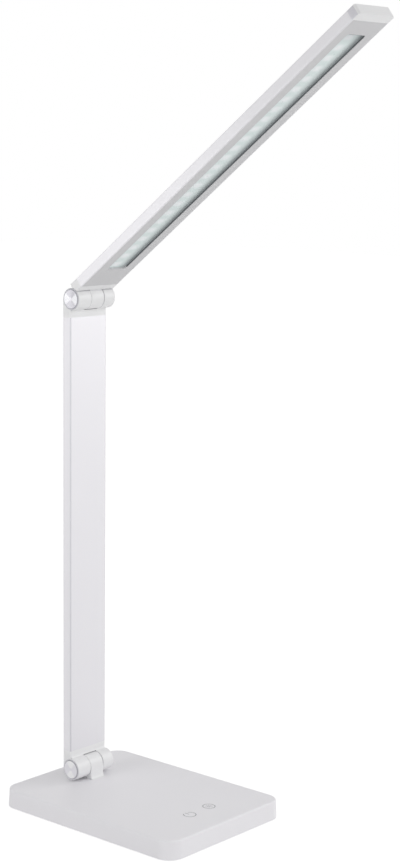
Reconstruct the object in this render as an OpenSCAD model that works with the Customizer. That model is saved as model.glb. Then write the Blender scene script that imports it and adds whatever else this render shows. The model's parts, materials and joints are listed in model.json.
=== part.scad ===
// Folding desk lamp: a weighted base with touch controls, an upright flat arm and a
// flat head with one row of light-emitting diodes, joined by two friction hinges.
// Origin: centre of the rubber pad's underside. +X to the right, +Y to the back,
// +Z up. Each hinge turns about X. Everything is in millimetres.

/* [Base] */
// Width of the base
base_w = 121; // [100:1:150]
// Depth of the base, front to back
base_d = 164; // [136:1:200]
// Height of the base's top above the table
base_h = 13.8; // [13:0.1:20]
// Corner radius of the base, seen from above
base_corner_r = 12; // [8:1:20]
// How far the base's sides lean in between the rim and the top
base_draft = 0.6; // [0:0.1:1.5]
// Rounding along the base's top edge
base_edge_r = 1.4; // [0.6:0.1:2.5]
// Wall thickness of the base shell
shell_wall = 2.2; // [1.8:0.1:3]
// Thickness of the steel bottom plate
plate_t = 1.5; // [1:0.1:2]
// Thickness of the rubber pad
pad_t = 1.2; // [0.8:0.1:2]
// How far the hinge axis lies ahead of the base's back edge
hinge_setback = 28.5; // [27:0.5:40]

/* [Arm] */
// Distance between the two hinge axes
arm_len = 343.3; // [250:0.1:412]
// Width of the arm
arm_w = 36; // [32:0.5:44]
// Thickness of the arm
arm_t = 7.8; // [6.5:0.1:9.4]
// Rounding along the long edges of the arm and the head
bar_edge_r = 0.8; // [0.4:0.1:1.5]
// Wall thickness of the arm's aluminium profile
arm_wall = 1.2; // [1:0.1:1.6]
// Distance from a hinge axis to the seam of the arm's end cap
arm_cap_len = 13.2; // [12:0.1:18]

/* [Head] */
// Distance from the upper hinge axis to the tip of the head
head_len = 307; // [240:1:370]
// Width of the head
head_w = 37.6; // [33:0.1:44]
// Thickness of the head
head_t = 7.2; // [7:0.1:9]
// Angle of the head above the horizontal
head_rise = 37.1; // [10:0.1:60]
// Side wall of the head's aluminium channel
head_side_wall = 1.2; // [1:0.1:1.6]
// Thickness of the channel's outer face
head_top_wall = 1.2; // [0.8:0.1:1.4]
// Distance from the upper axis to the seam of the hinge block
head_root_len = 13.6; // [12:0.1:18]
// Length of the cap at the tip of the head
tip_cap_len = 6.5; // [5:0.1:12]
// Corner radius of the tip, seen from above
tip_corner_r = 2.5; // [1.5:0.5:8]

/* [Light window] */
// Distance from the upper axis to the near end of the window
window_start = 34; // [30:0.5:60]
// Distance from the tip of the head to the far end of the window
window_tip_gap = 19; // [16:0.5:40]
// Width of the window
window_w = 18.7; // [12:0.1:24]
// Corner radius of the window
window_corner_r = 2; // [0.6:0.1:4]
// Depth of the window's recess, down to the cover
window_depth = 1.5; // [1.2:0.1:1.8]
// Distance between neighbouring diodes
led_pitch = 10.25; // [6:0.05:20]

/* [Hinges] */
// Outer radius of the hinge barrels
barrel_r = 7.8; // [7:0.1:9.4]
// How far the bars' outer faces stand out past the barrels
bar_proud = 0.8; // [0.6:0.1:2]
// Width of the middle lug
lug_w = 12.6; // [10:0.1:16]
// Sideways offset of the middle lug from the lamp's centre plane
lug_x = 1; // [-2:0.1:2]
// Radius of the hinge pin
pin_r = 2.5; // [2:0.1:3]
// Width of the barrel's rim round the bright cap on each end
cap_margin = 0.9; // [0.6:0.1:1.6]
// Play between the lug and the arm's left knuckle
lug_play_left = 0.1; // [0.05:0.05:0.5]
// Play between the lug and the arm's right knuckle
lug_play_right = 0.45; // [0.15:0.05:0.6]
// Space between a barrel and the concave end of the bar beside it
barrel_play = 0.5; // [0.3:0.1:1]

/* [Fits] */
// Running clearance of a hinge pin in a lug, on the radius
pin_play = 0.05; // [0.02:0.01:0.1]
// Clearance of pieces that plug together
plug_play = 0.1; // [0.05:0.05:0.2]

/* [Hidden] */
$fn = 64;
// Overlap of joined solids and overshoot of cuts
eps = 0.01;

// Colours, as the lamp shows them
white_plastic = [0.88, 0.88, 0.89];
white_metal = [0.86, 0.86, 0.87];
bare_metal = [0.8, 0.8, 0.82];
dark_rubber = [0.25, 0.25, 0.26];

// Places of the two hinge axes
stack_gap = 0.5;
bar_out = barrel_r + bar_proud;
axis_y = base_d / 2 - hinge_setback;
axis_z = base_h + bar_out + stack_gap;
top_z = axis_z + arm_len;
head_lean = 90 - head_rise;

// Heights inside the base
rim_z = pad_t / 2;
plate_top = pad_t + plate_t;
roof_z = base_h - shell_wall;
pad_inset = 4;
plate_play = 0.3;
corner_in = base_corner_r - shell_wall;
floor_w = base_w - 2 * (shell_wall + plate_play);
floor_d = base_d - 2 * (shell_wall + plate_play);

// Screw sizes: shank radius, head radius
m3_r = 1.5;
m3_head_r = 2.75;
m2_r = 1;
m2_head_r = 2;
screw_play = 0.15;
pan_head_t = 1.6;
base_screw_len = 7;
base_boss_r = 4;
base_boss_inset = 13;

// Stiffening ribs under the base's top
rib_h = 0.9;
rib_t = 1.4;

// Hinge bracket under the base's top
flange_w = 38;
flange_d = 26;
flange_t = 2.6;
flange_corner_r = 3;
seat_pad_t = 1.2;
flange_z = roof_z - seat_pad_t - flange_t;
bracket_screw_x = 13.5;
bracket_screw_y = 9;
bracket_screw_len = base_h - 1 - flange_z;
foot_fillet_r = 2.2;

// Control board under the touch marks
touch_y = 28;
touch_xs = [-9.9, 11.5];
board_w = 58;
board_d = 26;
board_t = 1.6;
board_z = roof_z - 3.6 - board_t;
board_y = -base_d / 2 + touch_y - 4;
board_back_y = board_y + board_d / 2;
board_corner_r = 1.5;
board_post_x = 24;
board_post_r = 2.6;
touch_pad_r = 4;
connector_d = 4;

// Weight between the control board and the hinge bracket, and the wires that cross it
weight_w = floor_w - 12;
weight_y0 = board_back_y + 3;
weight_y1 = axis_y - flange_d / 2 - 8.5;
weight_y = (weight_y0 + weight_y1) / 2;
weight_d = weight_y1 - weight_y0;
weight_t = roof_z - rib_h - 1.3 - plate_top;
weight_corner_r = 6;
trench_x0 = -5;
trench_x1 = 3;
trench_floor = plate_top + 0.6;
wire_r = 0.8;
wire_xs = [-3.7, -1.9];
harness_r = 1;
harness_play = 0.2;
harness_bend_r = 3;
bore_web = 1.5;

// Power inlet
inlet_w = 9;
inlet_d = 11;
inlet_h = 7.6;
inlet_bore_r = 2.9;
inlet_pin_r = 0.9;
inlet_z = plate_top + 0.3 + inlet_h / 2;

// Sections of the two bars, measured from a hinge axis towards the outer face
arm_y0 = bar_out - arm_t;
head_y0 = bar_out - head_t;
arm_mid = bar_out - arm_t / 2;
head_mid = bar_out - head_t / 2;
arm_web_x = 8;
arm_web_t = 1;
plug_len = 14;
slot_z = 4;
harness_start = barrel_r + 1.1;
arm_screw_x = arm_w / 4 + arm_web_x / 2;
arm_screw_len = 5;

// Harness, past the pin's bore and the bars' inner walls
harness_room = harness_r + harness_play;
harness_off = max(pin_r + bore_web + harness_r, arm_y0 + arm_wall + harness_room);
cheek_z = 2;
neck_fillet_r = 1.8;

// Hinge pieces along the axis
barrel_x = arm_w / 2 + 0.4;
lug_x0 = lug_x - lug_w / 2;
lug_x1 = lug_x + lug_w / 2;
knuckle_x0 = lug_x0 - lug_play_left;
knuckle_x1 = lug_x1 + lug_play_right;
barrel_chamfer = 0.3;
cap_recess = 1;
cap_proud = 0.5;
hinge_cap_r = barrel_r - cap_margin;
pin_head_r = pin_r + 1.9;
pin_head_t = 2.4;
pin_head_x = -barrel_x + cap_recess + 0.3 + pin_head_t;
knuckle_bore_r = pin_r + 0.03;
nut_af = 2 * pin_r + 3;
nut_t = 3.6;
nut_pocket_r = nut_af / 2 / cos(30) + 0.5;
washer_t = 0.5;
washer_count = 3;
washer_r = pin_r + 2.3;
washer_rise = 0.25;
nut_x = barrel_x - cap_recess - 0.5 - nut_t;
spring_x = nut_x - washer_count * (washer_t + washer_rise);
disc_r = barrel_r - 1.9;
disc_sink = 0.8;
disc_play = 0.05;

// Head, along its length from the upper axis
root_start = barrel_r - 1.8;
channel_end = head_len - tip_cap_len;
window_end = head_len - window_tip_gap;
window_mid = (window_start + window_end) / 2;
window_len = window_end - window_start;
skin_t = 1;
head_harness_off = max(harness_off, head_y0 + skin_t + harness_room);
window_rim = 1.1;
seal_t = 0.4;
seal_sink = 0.25;
seal_play = 0.05;
cover_t = 1.2;
cover_lap = 0.9;
led_board_t = 1.6;
heat_pad_t = 0.8;
led_board_y = bar_out - head_top_wall - heat_pad_t - led_board_t;
led_board_w = 16;
led_t = 0.7;
led_len = 3.5;
led_wide = 2.8;
led_board_start = head_root_len + plug_len + 1.5;
led_board_end = channel_end - 4.5;
led_count = floor(window_len / led_pitch);
led_first = window_mid - led_pitch * (led_count - 1) / 2;
led_well_r = 1.15;
terminal_w = 5;
terminal_len = 2.2;
head_screw_x = head_w / 3.4;
head_screw_len = 4;
tip_plug_len = 3.5;

// Rectangle with round corners, centred
module round_rect(w, d, r) {
    square([w - 2 * r, d], center = true);
    square([w, d - 2 * r], center = true);
    for (x = [-1, 1], y = [-1, 1])
        translate([x * (w / 2 - r), y * (d / 2 - r)]) circle(r = r);
}

// Cylinder along X from x0 to x1
module x_rod(x0, x1, r) {
    translate([x0, 0, 0]) rotate([0, 90, 0]) cylinder(h = x1 - x0, r = r);
}

// Outline drawn in Y and Z, extruded along X from x0 to x1
module side_form(x0, x1) {
    translate([x0, 0, 0]) rotate([90, 0, 90]) linear_extrude(x1 - x0) children();
}

// Barrel along X with a small chamfer on both ends
module barrel(x0, x1) {
    c = barrel_chamfer;
    h = x1 - x0;
    translate([x0, 0, 0]) rotate([0, 90, 0]) rotate_extrude()
        polygon([[0, 0], [barrel_r - c, 0], [barrel_r, c], [barrel_r, h - c], [barrel_r - c, h], [0, h]]);
}

// Countersunk screw: head on top at z = 0, shank down
module flat_screw(r, head_r, length) {
    sink = head_r - r;
    translate([0, 0, -sink]) cylinder(h = sink, r1 = r, r2 = head_r);
    translate([0, 0, -length]) cylinder(h = length - sink / 2, r = r);
}

// Room for a countersunk screw in the piece that it clamps
module flat_screw_hole(r, head_r, depth) {
    sink = head_r - r;
    translate([0, 0, -sink]) cylinder(h = sink + eps, r1 = r + screw_play, r2 = head_r + screw_play);
    translate([0, 0, -depth]) cylinder(h = depth, r = r + screw_play);
}

// Pan-head screw: underside of the head at z = 0, shank up
module pan_screw(r, head_r, length) {
    cylinder(h = length, r = r);
    translate([0, 0, -pan_head_t]) cylinder(h = pan_head_t, r = head_r);
}

// Half of the base's side outline: from a wall's inner line out to its face
module base_edge(reach) {
    top_x = reach - base_draft;
    height = base_h - rim_z;
    polygon([
        [0, 0], [reach, 0], [top_x, height - base_edge_r], [top_x - base_edge_r, height], [0, height]
    ]);
    translate([top_x - base_edge_r, height - base_edge_r]) circle(r = base_edge_r);
}

// Solid form of the base: drafted sides, round corners and a rounded top edge
module base_form() {
    cx = base_w / 2 - base_corner_r;
    cy = base_d / 2 - base_corner_r;
    translate([0, 0, rim_z]) {
        for (x = [-cx, cx], y = [-cy, cy])
            translate([x, y, 0]) rotate_extrude() base_edge(base_corner_r);
        for (side = [0, 1]) {
            mirror([side, 0, 0]) translate([0, cy, 0]) rotate([90, 0, 0]) linear_extrude(2 * cy)
                base_edge(base_w / 2);
            rotate([0, 0, 180 * side]) translate([-cx, 0, 0]) rotate([90, 0, 90]) linear_extrude(2 * cx)
                base_edge(base_d / 2);
        }
    }
}

// Places of the four screws that hold the bottom plate
module at_base_screws() {
    for (x = [-1, 1], y = [-1, 1])
        translate([x * (base_w / 2 - base_boss_inset), y * (base_d / 2 - base_boss_inset), 0]) children();
}

// Places of the four screws that hold the hinge bracket
module at_bracket_screws() {
    for (x = [-1, 1], y = [-1, 1])
        translate([lug_x + x * bracket_screw_x, axis_y + y * bracket_screw_y, 0]) children();
}

// Places of the posts that carry the control board
module at_board_posts() {
    for (x = [-1, 1])
        translate([x * board_post_x, board_y - board_d / 4, 0]) children();
}

module base_shell() {
    color(white_plastic) difference() {
        union() {
            difference() {
                base_form();
                linear_extrude(roof_z)
                    round_rect(base_w - 2 * shell_wall, base_d - 2 * shell_wall, corner_in);
            }
            at_base_screws() translate([0, 0, plate_top])
                cylinder(h = roof_z - plate_top + eps, r = base_boss_r);
            at_board_posts() translate([0, 0, board_z + board_t])
                cylinder(h = roof_z - board_z - board_t + eps, r = board_post_r);
            translate([lug_x, axis_y, roof_z - seat_pad_t]) linear_extrude(seat_pad_t + eps)
                round_rect(flange_w, flange_d, flange_corner_r);
            for (y = [weight_y - weight_d / 3, weight_y, weight_y + weight_d / 3])
                translate([0, y, roof_z - rib_h]) linear_extrude(rib_h + eps)
                    square([base_w - 2 * shell_wall, rib_t], center = true);
        }
        at_base_screws() cylinder(h = pad_t + base_screw_len + 1, r = m3_r);
        at_board_posts() cylinder(h = roof_z, r = m2_r);
        at_bracket_screws() cylinder(h = flange_z + bracket_screw_len + 0.2, r = m3_r);
        translate([lug_x, axis_y, base_h / 2]) linear_extrude(base_h)
            square([lug_w + 2 * plug_play, 2 * (barrel_r + plug_play)], center = true);
        translate([0, base_d / 2 + eps, inlet_z]) rotate([90, 0, 0])
            cylinder(h = shell_wall + 2 * eps, r = inlet_bore_r + 0.5);
    }
}

module base_bottom_plate() {
    color(bare_metal) difference() {
        translate([0, 0, pad_t]) linear_extrude(plate_t) round_rect(floor_w, floor_d, corner_in);
        at_base_screws() translate([0, 0, pad_t]) mirror([0, 0, 1])
            flat_screw_hole(m3_r, m3_head_r, plate_t + eps);
    }
}

module base_pad() {
    color(dark_rubber) linear_extrude(pad_t)
        round_rect(floor_w - 2 * pad_inset, floor_d - 2 * pad_inset, corner_in - pad_inset);
}

module base_weight() {
    color([0.45, 0.46, 0.48]) difference() {
        translate([0, weight_y, plate_top]) linear_extrude(weight_t)
            round_rect(weight_w, weight_d, weight_corner_r);
        translate([trench_x0, weight_y - weight_d, trench_floor])
            cube([trench_x1 - trench_x0, 2 * weight_d, weight_t]);
    }
}

module base_screws() {
    color(bare_metal) at_base_screws() translate([0, 0, pad_t]) mirror([0, 0, 1])
        flat_screw(m3_r, m3_head_r, base_screw_len);
}

// Lug that rises through the base's top, on a flange that is screwed on from below
module hinge_bracket() {
    foot_z = base_h - axis_z;
    color(white_metal) difference() {
        union() {
            translate([lug_x, axis_y, flange_z]) linear_extrude(flange_t)
                round_rect(flange_w, flange_d, flange_corner_r);
            translate([0, axis_y, axis_z]) {
                barrel(lug_x0, lug_x1);
                side_form(lug_x0, lug_x1) {
                    translate([-barrel_r, flange_z + eps - axis_z])
                        square([2 * barrel_r, axis_z - flange_z]);
                    foot_fillets(foot_z);
                }
            }
        }
        translate([0, axis_y, axis_z]) lug_holes();
        at_bracket_screws() translate([0, 0, flange_z - eps])
            cylinder(h = flange_t + 2 * eps, r = m3_r + screw_play);
        translate([lug_x, axis_y + harness_off, flange_z - eps])
            cylinder(h = axis_z, r = harness_room);
    }
}

// Concave fillets at the foot of the lug, front and back
module foot_fillets(foot_z) {
    reach = barrel_r + foot_fillet_r;
    difference() {
        translate([-reach, foot_z]) square([2 * reach, foot_fillet_r]);
        for (side = [-1, 1]) translate([side * reach, foot_z + foot_fillet_r]) circle(r = foot_fillet_r);
    }
}

// Bore and friction-disc seats of a lug, along X through the origin
module lug_holes() {
    x_rod(lug_x0 - 1, lug_x1 + 1, pin_r + pin_play);
    x_rod(lug_x0 - 1, lug_x0 + disc_sink, disc_r + plug_play);
    x_rod(lug_x1 - disc_sink, lug_x1 + 1, disc_r + plug_play);
}

module bracket_screws() {
    color(bare_metal) at_bracket_screws() translate([0, 0, flange_z])
        pan_screw(m3_r, m3_head_r, bracket_screw_len);
}

module control_board() {
    color([0.1, 0.35, 0.22]) {
        difference() {
            translate([0, board_y, board_z]) linear_extrude(board_t)
                round_rect(board_w, board_d, board_corner_r);
            at_board_posts() cylinder(h = roof_z, r = m2_r + screw_play);
        }
        translate([trench_x0, board_back_y - connector_d, plate_top + 0.4])
            cube([trench_x1 - trench_x0, connector_d, board_z - plate_top - 0.4]);
        translate([-20, board_y, board_z - 1.2]) linear_extrude(1.2) square([7, 5], center = true);
        translate([16, board_y, board_z - 1.8]) linear_extrude(1.8) square([9, 9], center = true);
    }
}

// Conductive foam pads that carry the touch fields up to the base's top
module touch_pads() {
    color([0.2, 0.2, 0.2]) for (x = touch_xs)
        translate([x, -base_d / 2 + touch_y, board_z + board_t])
            cylinder(h = roof_z - board_z - board_t, r = touch_pad_r);
}

// Round power socket with a centre pin, behind the hole in the base's back
module power_inlet() {
    back = base_d / 2 - shell_wall;
    color([0.15, 0.15, 0.16]) {
        difference() {
            translate([-inlet_w / 2, back - inlet_d, inlet_z - inlet_h / 2])
                cube([inlet_w, inlet_d, inlet_h]);
            translate([0, back + eps, inlet_z]) rotate([90, 0, 0])
                cylinder(h = inlet_d - 1.5, r = inlet_bore_r);
        }
        translate([0, back - 1, inlet_z]) rotate([90, 0, 0]) cylinder(h = inlet_d - 2, r = inlet_pin_r);
    }
}

module supply_wires() {
    y0 = board_back_y;
    y1 = base_d / 2 - shell_wall - inlet_d;
    color([0.7, 0.1, 0.1]) for (x = wire_xs)
        translate([x, y1, trench_floor + 0.1 + wire_r]) rotate([90, 0, 0])
            cylinder(h = y1 - y0, r = wire_r);
}

// Wires from the control board to the lower hinge, bent up into the lug
module base_harness() {
    y0 = board_back_y;
    y1 = axis_y + harness_off - harness_bend_r;
    z0 = trench_floor + 0.1 + harness_r;
    z1 = axis_z + sqrt(pow(barrel_r, 2) - pow(harness_off, 2)) - 1;
    color([0.9, 0.9, 0.9]) translate([lug_x, 0, 0]) {
        translate([0, y1, z0]) rotate([90, 0, 0]) cylinder(h = y1 - y0, r = harness_r);
        translate([0, y1, z0 + harness_bend_r]) rotate([0, 90, 0]) rotate_extrude(angle = 90)
            translate([harness_bend_r, 0]) circle(r = harness_r);
        translate([0, y1 + harness_bend_r, z0 + harness_bend_r])
            cylinder(h = z1 - z0 - harness_bend_r, r = harness_r);
    }
}

// Frames of the two moving bodies: the hinge axis at the origin, the bar along +Z
module at_arm() {
    translate([0, axis_y, axis_z]) children();
}

module at_arm_top() {
    translate([0, axis_y, top_z]) children();
}

module at_head() {
    at_arm_top() rotate([head_lean, 0, 0]) children();
}

// Two friction discs that sit in the sides of a lug
module friction_discs() {
    left = [knuckle_x0 + disc_play, lug_x0 + disc_sink];
    right = [lug_x1 - disc_sink, knuckle_x1 - disc_play];
    for (span = [left, right])
        difference() {
            x_rod(span[0], span[1], disc_r);
            x_rod(span[0] - 1, span[1] + 1, pin_r + 2 * pin_play);
        }
}

// Hinge pin with a round head on the left and its thread end on the right
module hinge_pin() {
    end_x = nut_x + nut_t + 0.3;
    chamfer = 0.4;
    x_rod(pin_head_x - pin_head_t, pin_head_x, pin_head_r);
    x_rod(pin_head_x - eps, end_x - chamfer, pin_r);
    translate([end_x - chamfer, 0, 0]) rotate([0, 90, 0])
        cylinder(h = chamfer, r1 = pin_r, r2 = pin_r - chamfer);
}

// Cupped spring washers that press the knuckles on the lug
module spring_washers() {
    step = washer_t + washer_rise;
    bore = pin_r + plug_play;
    for (i = [0 : washer_count - 1])
        translate([spring_x + i * step, 0, 0]) rotate([0, 90, 0]) rotate_extrude()
            polygon([[bore, washer_rise], [washer_r, 0], [washer_r, washer_t], [bore, step]]);
}

module hinge_nut() {
    difference() {
        translate([nut_x, 0, 0]) rotate([0, 90, 0]) cylinder(h = nut_t, d = nut_af / cos(30), $fn = 6);
        x_rod(nut_x - 1, nut_x + nut_t + 1, knuckle_bore_r);
    }
}

// Bright caps in both ends of the barrels, dished like a turned disc
module hinge_caps() {
    h = cap_recess + cap_proud;
    r = hinge_cap_r;
    for (side = [-1, 1])
        translate([side * (barrel_x - cap_recess), 0, 0]) rotate([0, 90 * side, 0]) rotate_extrude()
            polygon([[0, 0], [r, 0], [r, h - 0.3], [r - 0.3, h], [r - 1, h], [0, h - 0.35]]);
}

// Side outline of a bar's end round its hinge: the bar from y0 out to bar_out, with a
// flat that runs from the outer face to the barrel's circle
module knuckle_outline(y0, seam) {
    tangent = atan2(cheek_z, bar_out) - acos(barrel_r / norm([bar_out, cheek_z]));
    polygon([
        [0, 0], [y0, 0], [y0, seam], [bar_out, seam], [bar_out, cheek_z],
        barrel_r * [cos(tangent), sin(tangent)]
    ]);
}

// Fillet between the bar's inner face and the barrel
module neck_fillet(y0) {
    y = y0 - neck_fillet_r;
    z = sqrt(pow(barrel_r + neck_fillet_r, 2) - pow(y, 2));
    difference() {
        polygon([[0, 0], [y, z], [y0 + eps, z]]);
        translate([y, z]) circle(r = neck_fillet_r);
    }
}

// Holes and seats that a pin, its nut and its caps need in the arm's knuckles
module knuckle_holes() {
    x_rod(-barrel_x, barrel_x, knuckle_bore_r);
    x_rod(-barrel_x - 1, pin_head_x, pin_head_r + plug_play);
    x_rod(spring_x, barrel_x + 1, nut_pocket_r);
    x_rod(-barrel_x - 1, -barrel_x + cap_recess, hinge_cap_r + plug_play);
    x_rod(barrel_x - cap_recess, barrel_x + 1, hinge_cap_r + plug_play);
}

// End cap of the arm: two knuckles with a slot for the lug, and three tongues that
// plug into the profile
module arm_cap() {
    tongue_t = arm_t - 2 * (arm_wall + plug_play);
    inner_x = arm_w / 2 - arm_wall - plug_play;
    web_gap = arm_web_t / 2 + plug_play;
    difference() {
        union() {
            intersection() {
                translate([0, arm_mid, -bar_out]) linear_extrude(arm_cap_len + bar_out)
                    round_rect(arm_w, arm_t, bar_edge_r);
                side_form(-arm_w / 2, arm_w / 2) knuckle_outline(arm_y0, arm_cap_len);
            }
            side_form(-arm_w / 2 + bar_edge_r, arm_w / 2 - bar_edge_r) neck_fillet(arm_y0);
            barrel(-barrel_x, knuckle_x0);
            barrel(knuckle_x1, barrel_x);
            for (span = [[-inner_x, -arm_web_x - web_gap], [web_gap - arm_web_x, arm_web_x - web_gap],
                         [arm_web_x + web_gap, inner_x]])
                translate([span[0], arm_mid - tongue_t / 2, arm_cap_len - eps])
                    cube([span[1] - span[0], tongue_t, plug_len + eps]);
        }
        translate([knuckle_x0, -2 * bar_out, -2 * bar_out])
            cube([knuckle_x1 - knuckle_x0, 4 * bar_out, 2 * bar_out + slot_z]);
        x_rod(knuckle_x0, knuckle_x1, barrel_r + barrel_play);
        knuckle_holes();
        translate([lug_x, harness_off, 0]) cylinder(h = arm_cap_len + plug_len + 1, r = harness_room);
        at_arm_cap_screws() rotate([-90, 0, 0]) translate([0, 0, -arm_t]) cylinder(h = arm_t, r = m2_r);
    }
}

// Places of the two screws in the back of an arm cap, at the bar's outer face
module at_arm_cap_screws() {
    for (x = [-1, 1]) translate([x * arm_screw_x, bar_out, arm_cap_len + plug_len / 2]) children();
}

module arm_profile() {
    length = arm_len - 2 * arm_cap_len;
    color(white_metal) at_arm() difference() {
        translate([0, arm_mid, arm_cap_len]) linear_extrude(length) difference() {
            round_rect(arm_w, arm_t, bar_edge_r);
            difference() {
                square([arm_w - 2 * arm_wall, arm_t - 2 * arm_wall], center = true);
                for (x = [-arm_web_x, arm_web_x])
                    translate([x, 0]) square([arm_web_t, arm_t], center = true);
            }
        }
        at_arm_cap_screws() rotate([-90, 0, 0]) flat_screw_hole(m2_r, m2_head_r, arm_wall + eps);
        translate([0, 0, arm_len]) mirror([0, 0, 1])
            at_arm_cap_screws() rotate([-90, 0, 0]) flat_screw_hole(m2_r, m2_head_r, arm_wall + eps);
    }
}

module arm_lower_cap() {
    color(white_plastic) at_arm() arm_cap();
}

module arm_upper_cap() {
    color(white_plastic) at_arm_top() mirror([0, 0, 1]) arm_cap();
}

module arm_screws() {
    color(bare_metal) at_arm() {
        at_arm_cap_screws() rotate([-90, 0, 0]) flat_screw(m2_r, m2_head_r, arm_screw_len);
        translate([0, 0, arm_len]) mirror([0, 0, 1])
            at_arm_cap_screws() rotate([-90, 0, 0]) flat_screw(m2_r, m2_head_r, arm_screw_len);
    }
}

module arm_harness() {
    color([0.9, 0.9, 0.9]) at_arm() translate([lug_x, harness_off, harness_start])
        cylinder(h = arm_len - 2 * harness_start, r = harness_r);
}

module lower_friction_discs() {
    color([0.35, 0.35, 0.37]) at_arm() friction_discs();
}

module lower_hinge_pin() {
    color(bare_metal) at_arm() hinge_pin();
}

module lower_spring_washers() {
    color([0.5, 0.5, 0.52]) at_arm() spring_washers();
}

module lower_hinge_nut() {
    color(bare_metal) at_arm() hinge_nut();
}

module lower_hinge_caps() {
    color([0.9, 0.9, 0.93]) at_arm() hinge_caps();
}

module upper_friction_discs() {
    color([0.35, 0.35, 0.37]) at_head() friction_discs();
}

module upper_hinge_pin() {
    color(bare_metal) at_arm_top() hinge_pin();
}

module upper_spring_washers() {
    color([0.5, 0.5, 0.52]) at_arm_top() spring_washers();
}

module upper_hinge_nut() {
    color(bare_metal) at_arm_top() hinge_nut();
}

module upper_hinge_caps() {
    color([0.9, 0.9, 0.93]) at_arm_top() hinge_caps();
}

// Places of the two screws in the head's outer face
module at_head_screws() {
    for (x = [-1, 1]) translate([x * head_screw_x, bar_out, head_root_len + plug_len / 2]) children();
}

// Hinge block of the head: the lug, the concave shoulders and the plug
module head_hinge_block() {
    plug_y0 = head_y0 + skin_t + plug_play;
    plug_y1 = bar_out - head_top_wall - plug_play;
    plug_x = head_w / 2 - head_side_wall - plug_play;
    color(white_plastic) at_head() difference() {
        union() {
            difference() {
                translate([0, head_mid, root_start]) linear_extrude(head_root_len - root_start)
                    round_rect(head_w, head_t, bar_edge_r);
                for (span = [[-head_w, lug_x0], [lug_x1, head_w]])
                    x_rod(span[0], span[1], barrel_r + barrel_play);
            }
            side_form(lug_x0, lug_x1) knuckle_outline(head_y0, head_root_len);
            barrel(lug_x0, lug_x1);
            translate([-plug_x, plug_y0, head_root_len - eps])
                cube([2 * plug_x, plug_y1 - plug_y0, plug_len + eps]);
        }
        lug_holes();
        translate([lug_x, head_harness_off, -barrel_r])
            cylinder(h = barrel_r + head_root_len + plug_len + 1, r = harness_room);
        at_head_screws() rotate([-90, 0, 0]) translate([0, 0, -head_t]) cylinder(h = head_t, r = m2_r);
    }
}

// Aluminium channel: the head's outer face and both sides
module head_channel() {
    color(white_metal) at_head() difference() {
        translate([0, head_mid, head_root_len]) linear_extrude(channel_end - head_root_len)
            round_rect(head_w, head_t, bar_edge_r);
        translate([head_side_wall - head_w / 2, head_y0 - 1, head_root_len - 1])
            cube([head_w - 2 * head_side_wall, head_t - head_top_wall + 1, channel_end]);
        at_head_screws() rotate([-90, 0, 0]) flat_screw_hole(m2_r, m2_head_r, head_top_wall + eps);
    }
}

// Outline of the window in the head's own X and length, grown by a margin
module window_outline(margin) {
    translate([0, window_mid])
        round_rect(window_w + 2 * margin, window_len + 2 * margin, window_corner_r + margin);
}

// Flat piece of the head: an outline in X and length, from y0 to y1
module head_layer(y0, y1) {
    translate([0, y1, 0]) rotate([90, 0, 0]) linear_extrude(y1 - y0) children();
}

// Underside of the head: a thin skin with the window and the rim round it
module head_underside() {
    skin_w = head_w - 2 * (head_side_wall + plug_play / 2);
    color([0.8, 0.8, 0.82]) at_head() difference() {
        union() {
            translate([-skin_w / 2, head_y0, head_root_len])
                cube([skin_w, skin_t, channel_end - head_root_len]);
            head_layer(head_y0, head_y0 + window_depth) window_outline(window_rim);
        }
        head_layer(head_y0 - 1, head_y0 + window_depth + 1) window_outline(0);
    }
}

// Dark strip that lines the window's sides and far end, down to the cover
module window_seal() {
    color(dark_rubber) at_head() head_layer(head_y0 + seal_sink, head_y0 + window_depth) difference() {
        window_outline(-seal_play);
        window_outline(-seal_play - seal_t);
        translate([-window_w, window_start - 1]) square([2 * window_w, 1 + window_corner_r]);
    }
}

module window_cover() {
    y0 = head_y0 + window_depth;
    color([0.85, 0.95, 0.96, 0.4]) at_head() head_layer(y0, y0 + cover_t) window_outline(cover_lap);
}

module led_board() {
    color([0.93, 0.94, 0.94]) at_head() {
        translate([-led_board_w / 2, led_board_y, led_board_start])
            cube([led_board_w, led_board_t, led_board_end - led_board_start]);
        translate([lug_x - terminal_w / 2, head_harness_off - harness_r, led_board_start])
            cube([terminal_w, led_board_y - head_harness_off + harness_r, terminal_len]);
    }
}

// Soft pad that carries the board's heat into the channel
module heat_pad() {
    color([0.6, 0.62, 0.66]) at_head()
        translate([1 - led_board_w / 2, led_board_y + led_board_t, led_board_start + 1])
            cube([led_board_w - 2, heat_pad_t, led_board_end - led_board_start - 2]);
}

// One row of surface-mounted diodes, each with a round well in its face
module leds() {
    color([0.98, 0.97, 0.88]) at_head() for (i = [0 : led_count - 1])
        translate([0, led_board_y, led_first + i * led_pitch]) rotate([90, 0, 0]) difference() {
            linear_extrude(led_t) square([led_len, led_wide], center = true);
            translate([0, 0, led_t - 0.2]) cylinder(h = 1, r = led_well_r);
        }
}

// Cap that closes the channel at the tip, with round corners
module head_tip_cap() {
    plug_y0 = head_y0 + skin_t + plug_play;
    plug_y1 = bar_out - head_top_wall - plug_play;
    plug_x = head_w / 2 - head_side_wall - plug_play;
    color(white_plastic) at_head() {
        intersection() {
            translate([0, head_mid, channel_end]) linear_extrude(tip_cap_len)
                round_rect(head_w, head_t, bar_edge_r);
            head_layer(0, 2 * bar_out) translate([0, head_len - head_w / 2])
                round_rect(head_w, head_w, tip_corner_r);
        }
        translate([-plug_x, plug_y0, channel_end - tip_plug_len])
            cube([2 * plug_x, plug_y1 - plug_y0, tip_plug_len + eps]);
    }
}

module head_screws() {
    color(bare_metal) at_head() at_head_screws() rotate([-90, 0, 0])
        flat_screw(m2_r, m2_head_r, head_screw_len);
}

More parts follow.
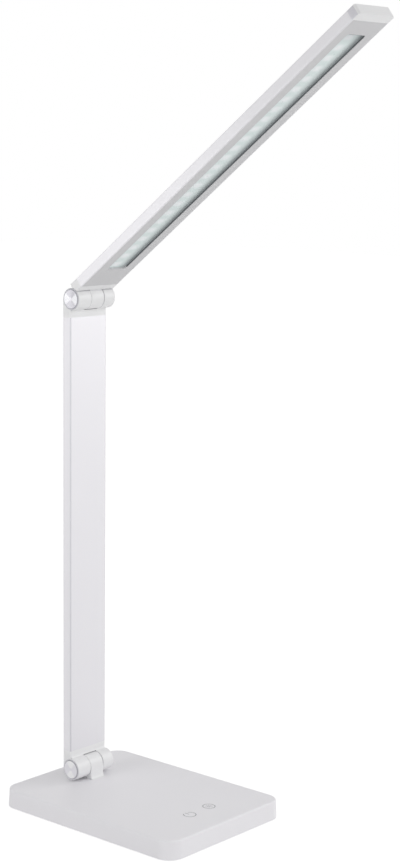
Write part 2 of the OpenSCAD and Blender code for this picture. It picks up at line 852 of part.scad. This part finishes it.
module head_harness() {
    start = -sqrt(pow(barrel_r, 2) - pow(head_harness_off, 2)) + 1;
    color([0.9, 0.9, 0.9]) at_head() translate([lug_x, head_harness_off, start])
        cylinder(h = led_board_start - start, r = harness_r);
}

base_shell();
base_bottom_plate();
base_pad();
base_weight();
base_screws();
hinge_bracket();
bracket_screws();
control_board();
touch_pads();
power_inlet();
supply_wires();
base_harness();
lower_friction_discs();
lower_hinge_pin();
lower_spring_washers();
lower_hinge_nut();
lower_hinge_caps();
arm_lower_cap();
arm_profile();
arm_upper_cap();
arm_screws();
arm_harness();
upper_friction_discs();
upper_hinge_pin();
upper_spring_washers();
upper_hinge_nut();
upper_hinge_caps();
head_hinge_block();
head_channel();
head_underside();
head_tip_cap();
window_seal();
window_cover();
led_board();
leds();
heat_pad();
head_screws();
head_harness();
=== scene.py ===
"""Looks of a folding desk lamp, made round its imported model. Metres, in the model's own frame."""
import json
import math

import bmesh
import bpy
from mathutils import Matrix, Vector

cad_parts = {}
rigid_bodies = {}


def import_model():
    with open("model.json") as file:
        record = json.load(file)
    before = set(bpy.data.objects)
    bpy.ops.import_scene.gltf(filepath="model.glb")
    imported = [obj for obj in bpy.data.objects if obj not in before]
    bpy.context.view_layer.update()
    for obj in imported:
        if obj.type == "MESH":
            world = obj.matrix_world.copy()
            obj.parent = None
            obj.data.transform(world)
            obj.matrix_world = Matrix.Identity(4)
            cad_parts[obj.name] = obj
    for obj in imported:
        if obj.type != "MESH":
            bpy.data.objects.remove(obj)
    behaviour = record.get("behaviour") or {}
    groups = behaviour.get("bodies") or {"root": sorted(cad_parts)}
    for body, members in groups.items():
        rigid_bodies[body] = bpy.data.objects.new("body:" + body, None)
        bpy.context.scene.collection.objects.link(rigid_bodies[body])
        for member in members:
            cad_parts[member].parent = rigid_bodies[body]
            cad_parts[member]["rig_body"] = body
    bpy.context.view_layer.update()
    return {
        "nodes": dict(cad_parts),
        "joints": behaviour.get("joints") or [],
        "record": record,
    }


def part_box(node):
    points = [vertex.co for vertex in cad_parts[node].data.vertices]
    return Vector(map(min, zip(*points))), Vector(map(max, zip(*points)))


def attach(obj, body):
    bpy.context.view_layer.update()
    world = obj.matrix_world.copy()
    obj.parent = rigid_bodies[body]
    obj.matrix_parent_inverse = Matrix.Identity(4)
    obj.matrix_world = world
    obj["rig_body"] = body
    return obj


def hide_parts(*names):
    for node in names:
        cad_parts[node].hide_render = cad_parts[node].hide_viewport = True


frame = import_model()
nodes = frame["nodes"]
MM = 0.001

# The two hinge axes and the direction of the head, as the joints say
joints = {joint["name"]: joint for joint in frame["joints"]}
LOWER_AXIS = Vector(joints["arm_tilt"]["pos_m"])
UPPER_AXIS = Vector(joints["head_tilt"]["pos_m"])
HEAD_RISE = math.radians(90 + joints["head_tilt"]["range_deg"][0])
HEAD_ALONG = Vector((0, -math.cos(HEAD_RISE), math.sin(HEAD_RISE)))
HEAD_OUTWARD = Vector((0, math.sin(HEAD_RISE), math.cos(HEAD_RISE)))
BACKWARD = Vector((0, 1, 0))
UPWARD = Vector((0, 0, 1))
DOWNWARD = Vector((0, 0, -1))


def along_head(node):
    """The least and the greatest distance of a node's mesh from the upper axis, along the head."""
    reach = [(v.co - UPPER_AXIS).dot(HEAD_ALONG) for v in nodes[node].data.vertices]
    return min(reach), max(reach)


# Camera, fitted to the photograph's edges

CAMERA_AT = Vector((-0.92688, -0.85574, 0.47037))
CAMERA_AZIMUTH = math.radians(-49.054)
CAMERA_ELEVATION = math.radians(8.8125)
CAMERA_ROLL = math.radians(0.619)
CAMERA_LENS = 75.954
CAMERA_CLIP = (0.05, 50)


def make_camera():
    """The camera of the photograph, fitted to its 400 x 868 frame."""
    data = bpy.data.cameras.new("camera")
    data.lens = CAMERA_LENS
    data.clip_start, data.clip_end = CAMERA_CLIP
    camera = bpy.data.objects.new("camera", data)
    bpy.context.scene.collection.objects.link(camera)
    az, el, roll = CAMERA_AZIMUTH, CAMERA_ELEVATION, CAMERA_ROLL
    back = Vector((math.sin(az) * math.cos(el), -math.cos(az) * math.cos(el), math.sin(el)))
    level = Vector((math.cos(az), math.sin(az), 0))
    upright = back.cross(level)
    right = level * math.cos(roll) + upright * math.sin(roll)
    up = upright * math.cos(roll) - level * math.sin(roll)
    turn = Matrix((right, up, back)).transposed().to_4x4()
    camera.matrix_world = Matrix.Translation(CAMERA_AT) @ turn
    bpy.context.scene.camera = camera


# Node materials

class Look:
    """A node material with one Principled shader, and short ways to add detail to it."""

    def __init__(self, name, colour, roughness, **shader):
        self.material = bpy.data.materials.new(name)
        self.material.use_nodes = True
        self.tree = self.material.node_tree
        self.shader = self.tree.nodes["Principled BSDF"]
        self.colour = (*colour, 1)
        self.roughness = roughness
        self.shader.inputs["Base Color"].default_value = self.colour
        self.shader.inputs["Roughness"].default_value = roughness
        for socket, value in shader.items():
            self.shader.inputs[socket.replace("_", " ")].default_value = value
        self.place = self.add("ShaderNodeTexCoord").outputs["Object"]

    def add(self, kind, links=None, **values):
        """A node of that kind, with some inputs linked or set and some of its own settings."""
        made = self.tree.nodes.new(kind)
        for key, value in values.items():
            if hasattr(made, key):
                setattr(made, key, value)
            else:
                made.inputs[key.replace("_", " ")].default_value = value
        for key, source in (links or {}).items():
            self.tree.links.new(source, made.inputs[key])
        return made

    def math(self, operation, first, second=0.0):
        """One Math node: the second number is a constant or another node's output."""
        made = self.add("ShaderNodeMath", {0: first}, operation=operation)
        if isinstance(second, (int, float)):
            made.inputs[1].default_value = second
        else:
            self.tree.links.new(second, made.inputs[1])
        return made.outputs[0]

    def vector_math(self, operation, first, second=(0, 0, 0)):
        """One Vector Math node with a constant as its second vector."""
        made = self.add("ShaderNodeVectorMath", {0: first}, operation=operation)
        made.inputs[1].default_value = second
        return made.outputs

    def offset_from(self, point):
        """The vector from that point of the rest pose to the place on the surface."""
        return self.vector_math("SUBTRACT", self.place, point)[0]

    def reach(self, point, direction):
        """The distance from that point, along that direction."""
        return self.vector_math("DOT_PRODUCT", self.offset_from(point), direction)["Value"]

    def rightward(self):
        """The distance from the lamp's middle plane, less than 0 on its left."""
        return self.reach((0, 0, 0), (1, 0, 0))

    def radius(self, point, across):
        """The distance from an axis through that point. across is 0 along the axis and 1 across it."""
        flat = self.vector_math("MULTIPLY", self.offset_from(point), across)[0]
        return self.vector_math("LENGTH", flat)["Value"]

    def ramp(self, value, start, end):
        """A smooth step from 0 at start to 1 at end."""
        made = self.add("ShaderNodeMapRange", {"Value": value}, interpolation_type="SMOOTHSTEP")
        made.inputs["From Min"].default_value = start
        made.inputs["From Max"].default_value = end
        return made.outputs[0]

    def noise(self, size, detail=2.0):
        """Noise with grains of about that size."""
        links = {"Vector": self.place}
        return self.add("ShaderNodeTexNoise", links, Scale=1 / size, Detail=detail).outputs["Fac"]

    def bump(self, height, depth):
        """Bump from a height of 0 to 1 that stands for that depth. It lies over an earlier bump."""
        links = {"Height": height}
        normal = self.shader.inputs["Normal"]
        if normal.is_linked:
            links["Normal"] = normal.links[0].from_socket
        made = self.add("ShaderNodeBump", links, Distance=depth)
        self.tree.links.new(made.outputs[0], normal)

    def grain(self, size, depth, detail=2.0):
        self.bump(self.noise(size, detail), depth)

    def vary_roughness(self, size, spread):
        """Roughness that wanders by that spread either side of the look's own."""
        low, high = self.roughness - spread, self.roughness + spread
        links = {"Value": self.noise(size, 3.0)}
        made = self.add("ShaderNodeMapRange", links, From_Min=0.3, From_Max=0.7, To_Min=low, To_Max=high)
        self.tree.links.new(made.outputs[0], self.shader.inputs["Roughness"])

    def tint(self, factor, other, share=1.0, blend="MIX"):
        """The look's colour, drawn towards another one (or multiplied by it) by that factor."""
        if share != 1.0:
            factor = self.math("MULTIPLY", factor, share)
        mix = self.add("ShaderNodeMix", data_type="RGBA", blend_type=blend)
        self.tree.links.new(factor, mix.inputs["Factor"])
        base = self.shader.inputs["Base Color"]
        mix.inputs[6].default_value = self.colour
        if base.is_linked:
            self.tree.links.new(base.links[0].from_socket, mix.inputs[6])
        mix.inputs[7].default_value = (*other, 1)
        self.tree.links.new(mix.outputs[2], base)

    def mottle(self, size, other, share=0.5):
        self.tint(self.noise(size), other, share)


def moulded(name, colour, roughness=0.42, grain_size=0.45 * MM, grain_depth=0.010 * MM):
    """Injection-moulded plastic with a fine spark-eroded skin over a faint waviness."""
    look = Look(name, colour, roughness, Specular_IOR_Level=0.45)
    look.mottle(30 * MM, [c * 0.975 for c in colour])
    look.vary_roughness(12 * MM, 0.04)
    look.grain(grain_size, grain_depth)
    look.grain(6 * MM, 0.006 * MM, 1.0)
    return look


def blasted(name, colour):
    """Aluminium, bead-blasted and anodised silver white."""
    look = Look(name, colour, 0.4, Metallic=0.25, Specular_IOR_Level=0.5)
    look.mottle(45 * MM, [c * 0.98 for c in colour])
    look.vary_roughness(20 * MM, 0.03)
    look.grain(0.3 * MM, 0.007 * MM, 3.0)
    return look


def plated(name, colour, roughness=0.35):
    """Zinc-plated or nickel-plated steel."""
    look = Look(name, colour, roughness, Metallic=1.0)
    look.mottle(3 * MM, [c * 0.85 for c in colour])
    look.vary_roughness(2 * MM, 0.08)
    look.grain(0.2 * MM, 0.003 * MM)
    return look


def rubber(name, colour):
    look = Look(name, colour, 0.8, Specular_IOR_Level=0.3)
    look.mottle(8 * MM, [c * 1.4 for c in colour])
    look.grain(0.8 * MM, 0.05 * MM, 4.0)
    return look


# Hinge caps: radii between which the lighter middle ends and the painted shade of the rim begins, and the
# rings' pitch
CAP_MIDDLE = (1.6 * MM, 0.6 * MM)
CAP_RIM_SHADE = (6.1 * MM, 6.7 * MM)
CAP_RING_PITCH = 0.22 * MM


def turned(name, axis_point, highlight_along, silver, grey, metallic):
    """A bright disc turned on a lathe: fine rings about the X axis, a painted highlight in a pair of sectors,
    and painted shade on its rim.
    """
    look = Look(name, grey, 0.26, Metallic=metallic, Anisotropic=0.7)
    tangent = look.add("ShaderNodeTangent", direction_type="RADIAL", axis="X")
    look.tree.links.new(tangent.outputs[0], look.shader.inputs["Tangent"])
    radius = look.radius(axis_point, (0, 1, 1))
    share = look.math("DIVIDE", look.reach(axis_point, highlight_along), radius)
    # painted highlight: a bright pair of sectors across the disc
    sectors = look.ramp(look.math("MULTIPLY", share, share), 0.35, 0.85)
    look.tint(sectors, silver)
    look.tint(look.ramp(radius, *CAP_MIDDLE), (0.8, 0.79, 0.84), 0.7)
    # painted shade on the rim
    look.tint(look.ramp(radius, *CAP_RIM_SHADE), (0.36, 0.36, 0.40), 0.85)
    links = {"W": radius}
    rings = look.add("ShaderNodeTexNoise", links, noise_dimensions="1D", Scale=1 / CAP_RING_PITCH, Detail=2.0)
    look.bump(rings.outputs["Fac"], 0.004 * MM)
    look.mottle(2 * MM, (0.7, 0.7, 0.72), 0.15)
    return look


def shaded_along(name, colour, start, direction, length, last_light_share):
    """Blasted metal with painted shade that darkens it smoothly along its length, where less light falls."""
    look = blasted(name, colour)
    # painted shade: the colour darkens along the part towards its end
    look.tint(look.ramp(look.reach(start, direction), 0, length), [last_light_share] * 3, blend="MULTIPLY")
    return look


# Width of the painted shade along the edges of the arm's front
ARM_EDGE_SHADE_WIDTH = 1.1 * MM


def arm_profile_look():
    """The arm's profile: painted shade down its length and along the edges of its front."""
    low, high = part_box("arm_profile")
    look = shaded_along("arm_profile", (0.871, 0.860, 0.892), UPPER_AXIS, DOWNWARD, high.z - low.z, 0.955)
    sideways = look.math("ABSOLUTE", look.rightward())
    near_side = look.ramp(sideways, high.x - ARM_EDGE_SHADE_WIDTH, high.x - 0.4 * ARM_EDGE_SHADE_WIDTH)
    near_front = look.ramp(look.reach(low, BACKWARD), ARM_EDGE_SHADE_WIDTH, 0.4 * ARM_EDGE_SHADE_WIDTH)
    # painted shade along the front's long edges
    look.tint(look.math("MULTIPLY", near_side, near_front), (0.60, 0.59, 0.63), 0.8)
    return look


def head_channel_look():
    # painted shade: darker towards the head's tip
    return shaded_along("head_channel", (0.89, 0.88, 0.91), UPPER_AXIS, HEAD_ALONG, 0.28, 0.87)


# Satin plastic: how far the painted shade in its creases reaches, and between which depths from its ends the
# painted shade starts
CREASE_SHADE_REACH = 2.2 * MM
END_SHADE_DEPTHS = (0.35 * MM, 0.2 * MM)


def satin(name, shaded_end=None, end_shade_colour=(1, 1, 1), share=1.0):
    """Satin white plastic, with painted shade in its creases and where it ends sideways."""
    look = moulded(name, (0.876, 0.876, 0.882), 0.38, 0.4 * MM, 0.007 * MM)
    crease_shade = look.add("ShaderNodeAmbientOcclusion", samples=6, Distance=CREASE_SHADE_REACH).outputs["AO"]
    # painted shade in the creases, from ambient occlusion
    look.tint(look.ramp(crease_shade, 0.75, 0.25), (0.62, 0.62, 0.65), 0.8)
    if shaded_end is not None:
        sideways = look.math("ABSOLUTE", look.rightward())
        start, end = (shaded_end - depth for depth in END_SHADE_DEPTHS)
        # painted shade where the part ends sideways
        look.tint(look.ramp(sideways, start, end), end_shade_colour, share)
    return look


# The inlet's pin: radii between which its metal ends
INLET_PIN_EDGE = (1.1 * MM, 0.95 * MM)


def inlet_look():
    """The power inlet: black plastic round a plated pin."""
    look = moulded("power_inlet", (0.02, 0.02, 0.022), 0.5)
    low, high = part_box("power_inlet")
    pin = look.ramp(look.radius((low + high) / 2, (1, 0, 1)), *INLET_PIN_EDGE)
    look.tint(pin, (0.75, 0.74, 0.72))
    look.tree.links.new(pin, look.shader.inputs["Metallic"])
    return look


# The seal strip: depths from its face between which its painted light from the cover comes in
SEAL_PAINTED_LIGHT = (0.3 * MM, 1.2 * MM)


def seal_look():
    """The dark strip round the window, which also stands for the shade in the recess, with painted light down
    by the cover.
    """
    look = rubber("seal_rubber", (0.13, 0.14, 0.15))
    depth = look.reach(UPPER_AXIS, HEAD_OUTWARD)
    face = min((v.co - UPPER_AXIS).dot(HEAD_OUTWARD) for v in nodes["window_seal"].data.vertices)
    start, end = (face + inside for inside in SEAL_PAINTED_LIGHT)
    # painted light from the cover
    look.tint(look.ramp(depth, start, end), (0.46, 0.48, 0.49))
    return look


# Light window: pitch of the diodes, how far left of the middle their painted glow lies and fades, and its
# painted shades
LED_PITCH = 10.25 * MM
GLOW_LEFT = 2.4 * MM
GLOW_FADES = (6.5 * MM, 0.5 * MM)
LEFT_SHADE = 2.6 * MM
RIGHT_SHADE_FROM = 0.5 * MM
FAR_SHADE = 14 * MM


def window_look():
    """The light-diffusing cover: a painted glow over each diode, and painted shade towards the sides and the
    far end.
    """
    look = Look("window_diffuser", (0.75, 0.85, 0.84), 0.3, Specular_IOR_Level=0.5)
    sideways = look.rightward()
    along = look.reach(UPPER_AXIS, HEAD_ALONG)
    first, last = along_head("leds")
    middle = (first + last) / 2
    half_pitches = (round((last - first) / LED_PITCH) - 1) / 2
    turns = look.math("DIVIDE", look.math("SUBTRACT", along, middle - half_pitches * LED_PITCH), LED_PITCH)
    wave = look.math("COSINE", look.math("MULTIPLY", turns, 2 * math.pi))
    row = look.ramp(look.math("ABSOLUTE", look.math("ADD", sideways, GLOW_LEFT)), *GLOW_FADES)
    # painted glow over each diode
    look.tint(look.math("MULTIPLY", look.ramp(wave, -1.0, 1.0), row), (0.95, 0.98, 1.0), 0.95)
    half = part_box("window_cover")[1].x
    # painted shade towards the sides and the far end
    look.tint(look.ramp(sideways, -half + LEFT_SHADE, -half), (0.80, 0.80, 0.81), blend="MULTIPLY")
    look.tint(look.ramp(sideways, RIGHT_SHADE_FROM, half), (0.52, 0.50, 0.51), blend="MULTIPLY")
    end = along_head("window_cover")[1]
    look.tint(look.ramp(along, end - FAR_SHADE, end), (0.72, 0.72, 0.73), blend="MULTIPLY")
    look.grain(0.25 * MM, 0.004 * MM)
    look.vary_roughness(5 * MM, 0.03)
    return look


def slot_looks():
    """One look for every material slot of the record that some node wears as it is."""
    return {
        "shell_plastic": moulded("shell_plastic", (0.896, 0.885, 0.913)),
        "hinge_plastic": satin("hinge_plastic"),
        "frame_plastic": moulded("frame_plastic", (0.648, 0.645, 0.657), 0.45, 0.4 * MM, 0.012 * MM),
        "steel": plated("steel", (0.62, 0.63, 0.65)),
        "weight_steel": plated("weight_steel", (0.35, 0.35, 0.36), 0.6),
        "pad_rubber": rubber("pad_rubber", (0.035, 0.035, 0.038)),
        "board_laminate": moulded("board_laminate", (0.03, 0.19, 0.08), 0.35),
        "foam": rubber("foam", (0.03, 0.03, 0.03)),
        "seal_rubber": seal_look(),
        "pad_silicone": rubber("pad_silicone", (0.3, 0.32, 0.36)),
        "wire_sheath": moulded("wire_sheath", (0.75, 0.75, 0.76), 0.5),
        "friction_fibre": rubber("friction_fibre", (0.12, 0.12, 0.13)),
        "board_metal": moulded("board_metal", (0.82, 0.83, 0.83), 0.4),
        "led_package": moulded("led_package", (0.86, 0.85, 0.78), 0.3),
        "window_diffuser": window_look(),
    }


def node_looks():
    """The looks of nodes that need more than their slot's: painted shade and highlights, or a finish of their
    own.
    """
    # The arm's and the head's caps get painted shade where they end sideways
    arm_end = satin("arm_end_cap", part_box("arm_upper_cap")[1].x, (0.60, 0.60, 0.64), 0.75)
    # The silver colours are painted highlights; the lower caps' lighter, less metallic grey is the same caps'
    # look painted lighter for the light they show
    low_highlight, low_grey = (1.0, 1.0, 1.0), (0.86, 0.85, 0.89)
    top_highlight, top_grey = (0.87, 0.87, 0.90), (0.57, 0.56, 0.60)
    return {
        "arm_profile": arm_profile_look(),
        "head_channel": head_channel_look(),
        "power_inlet": inlet_look(),
        "arm_lower_cap": arm_end,
        "arm_upper_cap": arm_end,
        "head_tip_cap": satin("head_tip_cap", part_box("head_tip_cap")[1].x, (0.66, 0.65, 0.70), 0.8),
        "lower_hinge_caps": turned("lower_hinge_caps", LOWER_AXIS, UPWARD, low_highlight, low_grey, 0.2),
        "upper_hinge_caps": turned("upper_hinge_caps", UPPER_AXIS, BACKWARD, top_highlight, top_grey, 1.0),
    }


def dress(by_slot, by_node):
    """Gives every node of the frame its own look, or else that of its slot in the record."""
    for row in frame["record"]["subparts"]:
        look = by_node.get(row["node"]) or by_slot[row["material_slot"]]
        mesh = nodes[row["node"]].data
        mesh.materials.clear()
        mesh.materials.append(look.material)


# Pieces made here

def new_piece(name, bm, look):
    """A shown object from a finished bmesh, which is freed."""
    bmesh.ops.recalc_face_normals(bm, faces=bm.faces)
    mesh = bpy.data.meshes.new(name)
    bm.to_mesh(mesh)
    bm.free()
    mesh.materials.append(look.material)
    piece = bpy.data.objects.new(name, mesh)
    bpy.context.scene.collection.objects.link(piece)
    return piece


def strip(bm, inner, outer, low, high):
    """A thin closed slab between two lines of points of equal length, from height low to high."""
    rings = []
    for a, b in zip(inner, outer):
        corners = ((a, low), (b, low), (b, high), (a, high))
        rings.append([bm.verts.new((p[0], p[1], z)) for p, z in corners])
    closed = (Vector(inner[0]) - Vector(inner[-1])).length < 1e-7
    if closed:
        for vertex in rings[-1]:
            bm.verts.remove(vertex)
        rings[-1] = rings[0]
    else:
        bm.faces.new(rings[0])
        bm.faces.new(rings[-1])
    for here, there in zip(rings, rings[1:]):
        for k in range(4):
            bm.faces.new((here[k], here[k - 1], there[k - 1], there[k]))


def arc(centre, radius, start, end, steps):
    """Points on an arc, with its angles in degrees from +X towards +Y."""
    angles = [math.radians(start + (end - start) * k / steps) for k in range(steps + 1)]
    return [(centre[0] + radius * math.cos(a), centre[1] + radius * math.sin(a)) for a in angles]


def ring(centre, radius, line, start, end, steps):
    """Both sides of a line that runs along the inside of an arc."""
    return arc(centre, radius - line, start, end, steps), arc(centre, radius, start, end, steps)


# A stroke's round end stops just short of its tip, so that its two sides stay apart there
STROKE_END_SHARE = 0.98
STROKE_END_STEPS = 6


def stroke(centre, angle, start, end, width):
    """Both sides of a straight stroke with round ends, outwards from a centre."""
    along = Vector((math.cos(math.radians(angle)), math.sin(math.radians(angle))))
    across = Vector((-along.y, along.x)) * width / 2
    left, right = [], []
    for end_at, turn in ((start, -1), (end, 1)):
        for k in range(STROKE_END_STEPS + 1):
            step = k / STROKE_END_STEPS
            t = math.radians(90 * (step if turn > 0 else 1 - step) * STROKE_END_SHARE)
            reach = end_at - turn * width / 2 * (1 - math.sin(t))
            middle = Vector(centre) + along * reach
            left.append(tuple(middle + across * math.cos(t)))
            right.append(tuple(middle - across * math.cos(t)))
    return left, right


# Touch marks: a ring each, open for a bar at the back of one, and round a sun with rays in the other
POWER_MARK_AT = (-9.9 * MM, -54.5 * MM)
LIGHT_MARK_AT = (11.5 * MM, -53.6 * MM)
MARK_RADIUS = 4.6 * MM
MARK_LINE = 0.5 * MM
MARK_THICKNESS = 0.02 * MM
POWER_GAP_HALF_DEG = 30
POWER_BAR = (0.6 * MM, 4.4 * MM)
SUN_RADIUS = 1.1 * MM
SUN_LINE = 0.35 * MM
RAY = (1.7 * MM, 2.7 * MM)
RAY_WIDTH = 0.4 * MM
RAY_COUNT = 8


def touch_marks():
    """The two printed touch marks: a generic power sign and a generic brightness sign."""
    print_look = moulded("touch_print", (0.30, 0.30, 0.315), 0.5)
    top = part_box("base_shell")[1].z
    low, high = top - MARK_THICKNESS, top + MARK_THICKNESS

    bm = bmesh.new()
    start, end = 90 + POWER_GAP_HALF_DEG, 450 - POWER_GAP_HALF_DEG
    strip(bm, *ring(POWER_MARK_AT, MARK_RADIUS, MARK_LINE, start, end, 60), low, high)
    strip(bm, *stroke(POWER_MARK_AT, 90, *POWER_BAR, MARK_LINE), low, high)
    power = new_piece("power_mark", bm, print_look)

    bm = bmesh.new()
    strip(bm, *ring(LIGHT_MARK_AT, MARK_RADIUS, MARK_LINE, 0, 360, 60), low, high)
    strip(bm, *ring(LIGHT_MARK_AT, SUN_RADIUS, SUN_LINE, 0, 360, 32), low, high)
    for k in range(RAY_COUNT):
        strip(bm, *stroke(LIGHT_MARK_AT, 360 * k / RAY_COUNT, *RAY, RAY_WIDTH), low, high)
    light = new_piece("brightness_mark", bm, print_look)

    for piece in (power, light):
        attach(piece, "base")


# Cross recesses in screw heads: span and width of the cross, and its depth
M2_CROSS = (2.3 * MM, 0.6 * MM, 0.8 * MM)
M3_CROSS = (3.2 * MM, 0.8 * MM, 1.1 * MM)

# The cutter's two ends: height as a share of the depth, and size as a share of the cross
CUTTER_ENDS = ((0.3, 1.1), (-1.0, 0.55))


def cross_cutter(places, outward, cross):
    """Tapered crosses that stand in those places, for the driver's recesses."""
    bm = bmesh.new()
    turn = UPWARD.rotation_difference(outward).to_matrix()
    span, width, depth = cross
    a, b = width / 2, span / 2
    outline = [
        (b, -a), (b, a), (a, a), (a, b), (-a, b), (-a, a),
        (-b, a), (-b, -a), (-a, -a), (-a, -b), (a, -b), (a, -a),
    ]
    for place in places:
        rims = []
        for height, share in CUTTER_ENDS:
            corners = [Vector((x * share, y * share, height * depth)) for x, y in outline]
            rims.append([bm.verts.new(place + turn @ corner) for corner in corners])
        bm.faces.new(rims[0])
        bm.faces.new(list(reversed(rims[1])))
        for k in range(len(outline)):
            bm.faces.new((rims[0][k], rims[0][k - 1], rims[1][k - 1], rims[1][k]))
    bmesh.ops.recalc_face_normals(bm, faces=bm.faces)
    mesh = bpy.data.meshes.new("cutter")
    bm.to_mesh(mesh)
    bm.free()
    return bpy.data.objects.new("cutter", mesh)


def head_centres(bm, outward):
    """The middle of each screw's outermost face. A dict and lists keep their order the same each run."""
    left, centres = dict.fromkeys(bm.verts), []
    while left:
        island = [left.popitem()[0]]
        for vertex in island:
            for edge in vertex.link_edges:
                other = edge.other_vert(vertex)
                if other in left:
                    del left[other]
                    island.append(other)
        top = max(v.co.dot(outward) for v in island)
        rim = [v.co for v in island if v.co.dot(outward) > top - 0.01 * MM]
        centres.append(sum(rim, Vector()) / len(rim))
    return centres


def driven_screws(node, outward, cross, look):
    """The node's screws with a cross recess in each head. They stand for the plain ones."""
    bm = bmesh.new()
    bm.from_mesh(nodes[node].data)
    bmesh.ops.remove_doubles(bm, verts=bm.verts, dist=0.001 * MM)
    places = head_centres(bm, outward)
    piece = new_piece(node + "_driven", bm, look)
    cutter = cross_cutter(places, outward, cross)
    bpy.context.scene.collection.objects.link(cutter)
    cut = piece.modifiers.new("recess", "BOOLEAN")
    cut.operation, cut.object, cut.solver = "DIFFERENCE", cutter, "EXACT"
    bpy.context.view_layer.update()
    finished = bpy.data.meshes.new_from_object(piece.evaluated_get(bpy.context.evaluated_depsgraph_get()))
    piece.modifiers.clear()
    piece.data = finished
    bpy.data.objects.remove(cutter)
    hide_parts(node)
    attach(piece, nodes[node]["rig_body"])


# Light, floor and background

def seen_directly(tree):
    """1 for what the camera sees, also in gloss and through glass, and 0 for light on the object."""
    path = tree.nodes.new("ShaderNodeLightPath")
    seen = path.outputs["Is Camera Ray"]
    for name in ("Is Glossy Ray", "Is Transmission Ray"):
        either = tree.nodes.new("ShaderNodeMath")
        either.operation = "MAXIMUM"
        tree.links.new(seen, either.inputs[0])
        tree.links.new(path.outputs[name], either.inputs[1])
        seen = either.outputs[0]
    return seen


# Strength of the background: white where it is seen, and a plain grey as light on the object
SKY_SEEN = 1.0
SKY_LIGHT = 0.507


def make_sky():
    """White to the camera, to gloss and through glass; a plain grey to what it lights."""
    world = bpy.data.worlds.new("studio")
    bpy.context.scene.world = world
    world.use_nodes = True
    tree = world.node_tree
    sky = tree.nodes["Background"]
    level = tree.nodes.new("ShaderNodeMapRange")
    level.inputs["To Min"].default_value = SKY_LIGHT
    level.inputs["To Max"].default_value = SKY_SEEN
    tree.links.new(seen_directly(tree), level.inputs["Value"])
    tree.links.new(level.outputs[0], sky.inputs["Strength"])
    sky.inputs["Color"].default_value = (1, 1, 1, 1)


# Floor, just under the pad. To the lens it is a darker grey with a glow added, which softens the shadow
FLOOR_SIZE = 12.0
FLOOR_Z = -0.1 * MM
FLOOR_COLOUR = (0.84, 0.84, 0.84, 1)
FLOOR_SEEN_COLOUR = (0.42, 0.42, 0.42, 1)
FLOOR_GLOW = 0.80


def make_floor():
    """A pale floor that keeps the lamp's soft shadow and runs into the white background."""
    mesh = bpy.data.meshes.new("floor")
    h = FLOOR_SIZE / 2
    corners = [(x, y, FLOOR_Z) for x, y in ((-h, -h), (h, -h), (h, h), (-h, h))]
    mesh.from_pydata(corners, [], [(0, 1, 2, 3)])
    floor = bpy.data.objects.new("floor", mesh)
    bpy.context.scene.collection.objects.link(floor)
    material = bpy.data.materials.new("floor")
    material.use_nodes = True
    tree = material.node_tree
    tree.nodes.clear()
    out = tree.nodes.new("ShaderNodeOutputMaterial")
    plain = tree.nodes.new("ShaderNodeBsdfDiffuse")
    plain.inputs["Color"].default_value = FLOOR_COLOUR
    faint = tree.nodes.new("ShaderNodeBsdfDiffuse")
    faint.inputs["Color"].default_value = FLOOR_SEEN_COLOUR
    shine = tree.nodes.new("ShaderNodeEmission")
    shine.inputs["Strength"].default_value = FLOOR_GLOW
    both = tree.nodes.new("ShaderNodeAddShader")
    choose = tree.nodes.new("ShaderNodeMixShader")
    tree.links.new(faint.outputs[0], both.inputs[0])
    tree.links.new(shine.outputs[0], both.inputs[1])
    tree.links.new(seen_directly(tree), choose.inputs[0])
    tree.links.new(plain.outputs[0], choose.inputs[1])
    tree.links.new(both.outputs[0], choose.inputs[2])
    tree.links.new(choose.outputs[0], out.inputs["Surface"])
    mesh.materials.append(material)


# Softboxes: name, place, what each looks at, its side in metres and its power in watts
MIDDLE = Vector((0, 0, 0.28))
SOFTBOXES = (
    ("left", (-0.9, 0.15, 0.35), MIDDLE, 0.5, 1.05),
    ("high", (-0.2, -0.9, 1.1), MIDDLE, 0.6, 0.8),
    ("right", (0.9, -0.6, 0.6), MIDDLE, 0.6, 3.35),
    ("low", (-0.3, -0.9, 0.1), MIDDLE, 0.4, 1.65),
    ("near_left", (-0.36, 0.16, 0.37), UPPER_AXIS, 0.2, 0.17),
    ("low_left", (-0.5, 0.15, 0.12), LOWER_AXIS, 0.3, 0.05),
)


def softbox(name, place, aim, size, power):
    """A square area lamp at place that looks at aim."""
    data = bpy.data.lights.new(name, "AREA")
    data.shape = "SQUARE"
    data.size = size
    data.energy = power
    lamp = bpy.data.objects.new(name, data)
    bpy.context.scene.collection.objects.link(lamp)
    lamp.location = place
    lamp.rotation_mode = "QUATERNION"
    lamp.rotation_quaternion = (aim - Vector(place)).to_track_quat("-Z", "Y")


make_camera()
make_sky()
make_floor()
for lamp in SOFTBOXES:
    softbox(*lamp)

by_slot = slot_looks()
dress(by_slot, node_looks())
touch_marks()
driven_screws("arm_screws", BACKWARD, M2_CROSS, by_slot["steel"])
driven_screws("head_screws", HEAD_OUTWARD, M2_CROSS, by_slot["steel"])
driven_screws("base_screws", DOWNWARD, M3_CROSS, by_slot["steel"])

bpy.context.scene.view_settings.view_transform = "Standard"
